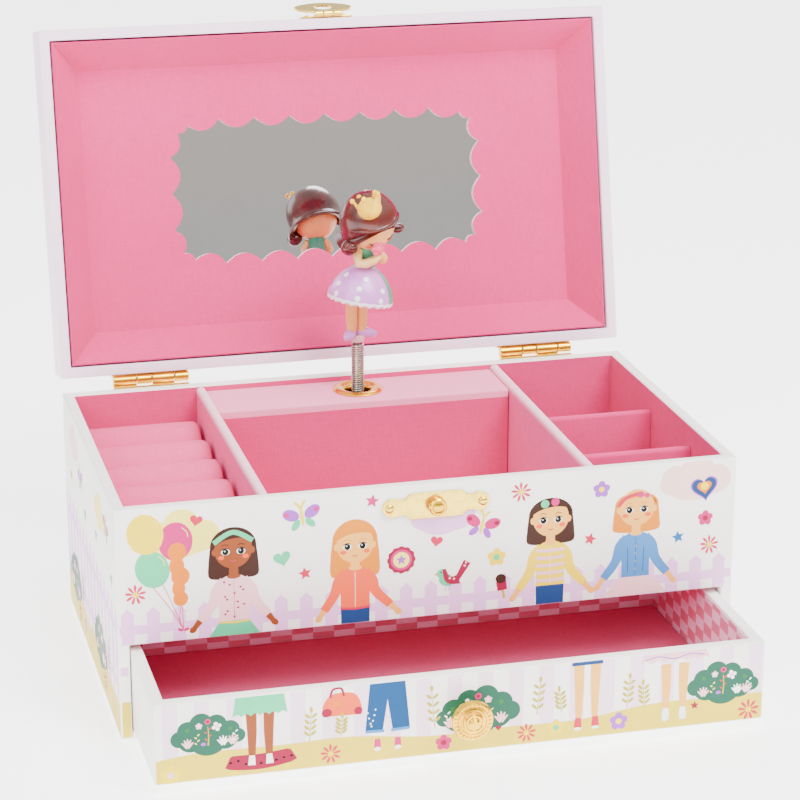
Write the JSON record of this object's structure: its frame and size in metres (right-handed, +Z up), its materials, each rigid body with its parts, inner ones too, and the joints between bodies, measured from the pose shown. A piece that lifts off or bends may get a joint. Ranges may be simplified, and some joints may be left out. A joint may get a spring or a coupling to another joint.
{
  "type": "musical jewellery box",
  "caption": "Musical jewellery box with a hinged mirrored lid, a sliding drawer, ring rolls, small compartments and a dancer that turns on a coil spring.",
  "frame": {"origin": "middle of the base board's underside", "axes": "+X to the right along the front, +Y to the back, +Z up"},
  "size_m": [0.19, 0.201, 0.1886],
  "materials": {
    "printed_paper": "board covered in white printed paper, satin",
    "pink_lining": "board covered in pink flocked paper, matt",
    "pale_lining": "board covered in pale pink paper, matt",
    "check_paper": "board covered in pink and white check paper, satin",
    "ring_roll_fabric": "pink flocked fabric over foam",
    "gilt_brass": "bright gilt",
    "pale_brass": "satin gilt",
    "steel": "bright",
    "mirror_glass": "polished",
    "dancer_paint": "gloss paint on moulded resin"
  },
  "bodies": {
    "case": {"base_board": "printed_paper", "side_panel_left": "printed_paper", "side_panel_right": "printed_paper", "front_panel": "printed_paper", "back_panel": "printed_paper", "mid_shelf": "pink_lining", "drawer_stop_board": "printed_paper", "divider_left": "pink_lining", "divider_right": "pink_lining", "partition_rear": "pink_lining", "partition_front": "pink_lining", "ring_roll_1": "ring_roll_fabric", "ring_roll_2": "ring_roll_fabric", "ring_roll_3": "ring_roll_fabric", "ring_roll_4": "ring_roll_fabric", "ring_roll_5": "ring_roll_fabric", "housing_front": "pink_lining", "housing_top": "pale_lining", "spring_collar": "gilt_brass", "movement_bedplate": "steel", "comb": "steel", "catch_plate": "pale_brass", "catch_knob": "gilt_brass", "catch_nail_left": "gilt_brass", "catch_nail_right": "gilt_brass", "hinge_left_case_leaf": "gilt_brass", "hinge_right_case_leaf": "gilt_brass", "hinge_left_pin": "steel", "hinge_right_pin": "steel"},
    "drawer": {"drawer_front": "printed_paper", "drawer_back": "check_paper", "drawer_side_left": "check_paper", "drawer_side_right": "check_paper", "drawer_bottom": "pink_lining", "drawer_knob": "gilt_brass", "drawer_knob_screw": "steel"},
    "lid": {"lid_side_left": "printed_paper", "lid_side_right": "printed_paper", "lid_front": "printed_paper", "lid_back": "printed_paper", "lid_top": "printed_paper", "lid_lining": "pink_lining", "mirror": "mirror_glass", "hinge_left_lid_leaf": "gilt_brass", "hinge_right_lid_leaf": "gilt_brass", "hasp_base": "pale_brass"},
    "hasp": {"hasp_flap": "pale_brass"},
    "spring": {"dancer_spring": "steel"},
    "dancer": {"dancer": "dancer_paint"},
    "barrel": {"spring_barrel": "gilt_brass"},
    "cylinder": {"pinned_cylinder": "gilt_brass"},
    "train": {"train_wheel": "gilt_brass"},
    "governor": {"governor": "steel"},
    "spindle": {"dancer_spindle": "gilt_brass"},
    "key": {"winding_key": "steel"}
  },
  "joints": [
    {"name": "drawer_slide", "type": "slide", "parent": "case", "child": "drawer", "axis": [0, -1, 0], "range_m": [-0.038, 0.042]},
    {"name": "lid_hinge", "type": "hinge", "parent": "case", "child": "lid", "pos_m": [0, 0.05815, 0.0744], "axis": [1, 0, 0], "range_deg": [0, 102.5]},
    {"name": "hasp_hinge", "type": "hinge", "parent": "lid", "child": "hasp", "pos_m": [0.0006, 0.08271, 0.18751], "axis": [1, 0, 0], "range_deg": [0, 165]},
    {"name": "dancer_fold", "type": "hinge", "parent": "case", "child": "spring", "pos_m": [0.0004, 0.0422, 0.08], "axis": [1, 0, 0], "range_deg": [0, 106.1], "deforming": ["dancer_spring"]},
    {"name": "dancer_spin", "type": "hinge", "parent": "spring", "child": "dancer", "pos_m": [0.0004, 0.0422, 0.08], "axis": [0, 0, 1], "continuous": true},
    {"name": "barrel_spin", "type": "hinge", "parent": "case", "child": "barrel", "pos_m": [0.0004, 0.04, 0.047], "axis": [0, 1, 0], "continuous": true},
    {"name": "cylinder_spin", "type": "hinge", "parent": "case", "child": "cylinder", "pos_m": [0.02, 0.0422, 0.047], "axis": [1, 0, 0], "continuous": true},
    {"name": "train_spin", "type": "hinge", "parent": "case", "child": "train", "pos_m": [0.0323, 0.0422, 0.0554], "axis": [1, 0, 0], "continuous": true},
    {"name": "governor_spin", "type": "hinge", "parent": "case", "child": "governor", "pos_m": [0.0364, 0.0358, 0.05], "axis": [0, 0, 1], "continuous": true},
    {"name": "spindle_spin", "type": "hinge", "parent": "case", "child": "spindle", "pos_m": [0.0004, 0.0422, 0.06], "axis": [0, 0, 1], "continuous": true},
    {"name": "key_turn", "type": "hinge", "parent": "case", "child": "key", "pos_m": [0.0004, 0.06, 0.047], "axis": [0, 1, 0], "continuous": true}
  ],
  "couplings": [
    {"joint": "dancer_fold", "follows": "lid_hinge", "ratio": 1.0341},
    {"joint": "cylinder_spin", "follows": "barrel_spin", "ratio": 2},
    {"joint": "train_spin", "follows": "barrel_spin", "ratio": -6},
    {"joint": "governor_spin", "follows": "barrel_spin", "ratio": 18},
    {"joint": "spindle_spin", "follows": "barrel_spin", "ratio": 1.8},
    {"joint": "dancer_spin", "follows": "barrel_spin", "ratio": 1.8}
  ]
}
